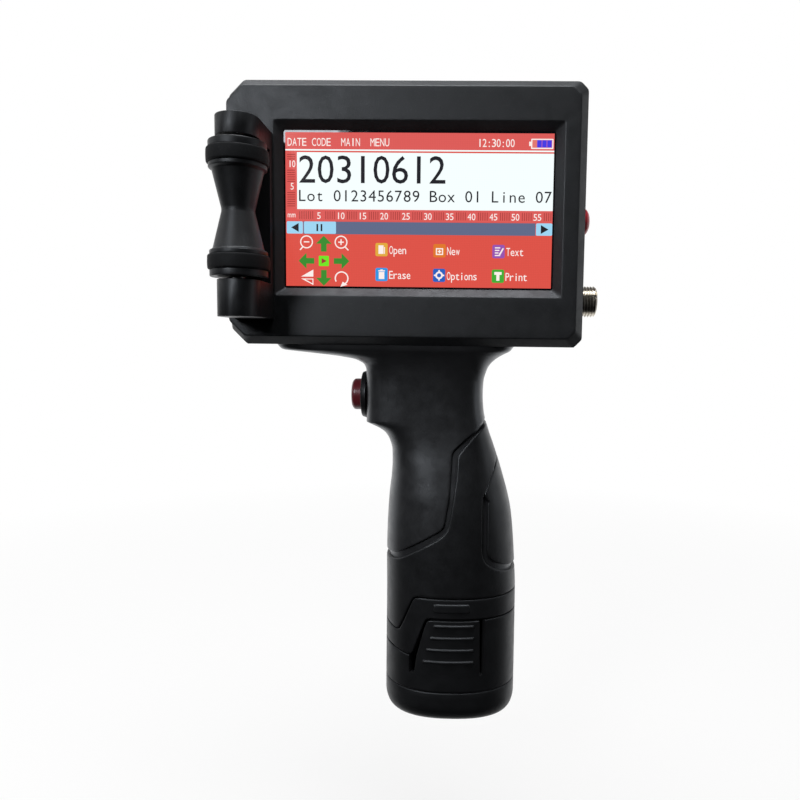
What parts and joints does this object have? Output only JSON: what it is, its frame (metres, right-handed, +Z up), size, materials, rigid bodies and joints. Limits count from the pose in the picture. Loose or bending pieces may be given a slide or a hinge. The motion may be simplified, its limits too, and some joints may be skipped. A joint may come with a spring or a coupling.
{
  "type": "date code inkjet printer",
  "caption": "Handheld thermal inkjet coder: touch screen head on a pistol grip with trigger, guide rollers beside the print face, top-loading ink cartridge and clip-in battery pack.",
  "frame": {"origin": "centre of the battery base's underside, on the grip's axis", "axes": "+X to the right as the user sees the screen (the print face looks along -X), +Y away from the user, +Z up"},
  "size_m": [0.1365, 0.0992, 0.2375],
  "materials": {
    "shell_black": "fine spark-eroded texture",
    "gloss_black": "polished",
    "soft_grip": "satin soft-touch",
    "ring_rubber": "matte, lightly worn",
    "screen_glass": "polished",
    "screen_frame": "satin",
    "circuit_board": "solder mask",
    "grey_plastic": "satin",
    "steel": "brushed",
    "zinc_screw": "zinc plated",
    "nickel": "satin nickel plate",
    "contact_gold": "bright",
    "button_red": "semi-gloss",
    "trigger_red": "semi-gloss",
    "white_plastic": "satin",
    "cell_wrap": "shrink film",
    "wire_red": "satin",
    "wire_yellow": "satin"
  },
  "bodies": {
    "printer": {"front_cover": "shell_black", "rear_housing": "shell_black", "touch_glass": "screen_glass", "display_module": "screen_frame", "main_board": "circuit_board", "cartridge_guide": "grey_plastic", "contact_board": "contact_gold", "print_face_plate": "steel", "front_bracket": "gloss_black", "front_bearings": "steel", "encoder_board": "circuit_board", "encoder_cover": "gloss_black", "rear_bracket": "gloss_black", "rear_bearings": "steel", "rear_bracket_cover": "gloss_black", "power_button_body": "gloss_black", "power_button_nut": "nickel", "sensor_connector": "nickel", "sensor_connector_nut": "nickel", "sensor_connector_insert": "grey_plastic", "usb_shell": "nickel", "usb_tongue": "white_plastic", "handle_front": "shell_black", "handle_rear": "shell_black", "grip_sleeve": "soft_grip", "palm_pad": "soft_grip", "handle_collar": "shell_black", "trigger_body": "gloss_black", "trigger_nut": "gloss_black", "terminal_block": "grey_plastic", "battery_blades": "contact_gold", "power_wires": "wire_red", "trigger_wires": "wire_yellow", "housing_screws": "zinc_screw", "handle_screws": "zinc_screw", "bracket_screws": "zinc_screw", "neck_screws": "zinc_screw", "board_screws": "zinc_screw"},
    "front_roller": {"front_axle": "steel", "front_hub": "gloss_black", "front_upper_ring": "ring_rubber", "front_lower_ring": "ring_rubber", "encoder_disc": "steel"},
    "rear_roller": {"rear_axle": "steel", "rear_hub": "gloss_black", "rear_upper_ring": "ring_rubber", "rear_lower_ring": "ring_rubber"},
    "trigger": {"trigger_cap": "trigger_red"},
    "power_button": {"power_button_cap": "button_red"},
    "cartridge": {"ink_cartridge": "grey_plastic", "nozzle_plate": "contact_gold"},
    "battery_pack": {"battery_shell": "shell_black", "battery_base": "shell_black", "battery_case": "grey_plastic", "battery_cells": "cell_wrap", "battery_board": "circuit_board"},
    "front_tab": {"front_release": "shell_black"},
    "rear_tab": {"rear_release": "shell_black"}
  },
  "joints": [
    {"name": "front_roller_spin", "type": "hinge", "parent": "printer", "child": "front_roller", "pos_m": [-0.0719, -0.0395, 0.1883], "axis": [0, 0, 1], "continuous": true},
    {"name": "rear_roller_spin", "type": "hinge", "parent": "printer", "child": "rear_roller", "pos_m": [-0.0719, 0.0395, 0.1883], "axis": [0, 0, 1], "continuous": true},
    {"name": "trigger_press", "type": "slide", "parent": "printer", "child": "trigger", "axis": [1, 0, 0], "range_m": [0, 0.0025], "stiffness_N_per_m": 600, "springref_m": -0.0015},
    {"name": "power_button_press", "type": "slide", "parent": "printer", "child": "power_button", "axis": [-1, 0, 0], "range_m": [0, 0.0015], "stiffness_N_per_m": 800, "springref_m": -0.001},
    {"name": "cartridge_lift", "type": "slide", "parent": "printer", "child": "cartridge", "axis": [0, 0, 1], "range_m": [0, 0.08]},
    {"name": "battery_release", "type": "slide", "parent": "printer", "child": "battery_pack", "axis": [0, 0, -1], "range_m": [0, 0.07]},
    {"name": "front_tab_flex", "type": "hinge", "parent": "battery_pack", "child": "front_tab", "pos_m": [0, -0.0178, 0.0185], "axis": [-1, 0, 0], "range_deg": [0, 4], "stiffness_Nm_per_rad": 0.6, "springref_deg": -1.72},
    {"name": "rear_tab_flex", "type": "hinge", "parent": "battery_pack", "child": "rear_tab", "pos_m": [0, 0.0178, 0.0185], "axis": [1, 0, 0], "range_deg": [0, 4], "stiffness_Nm_per_rad": 0.6, "springref_deg": -1.72}
  ]
}
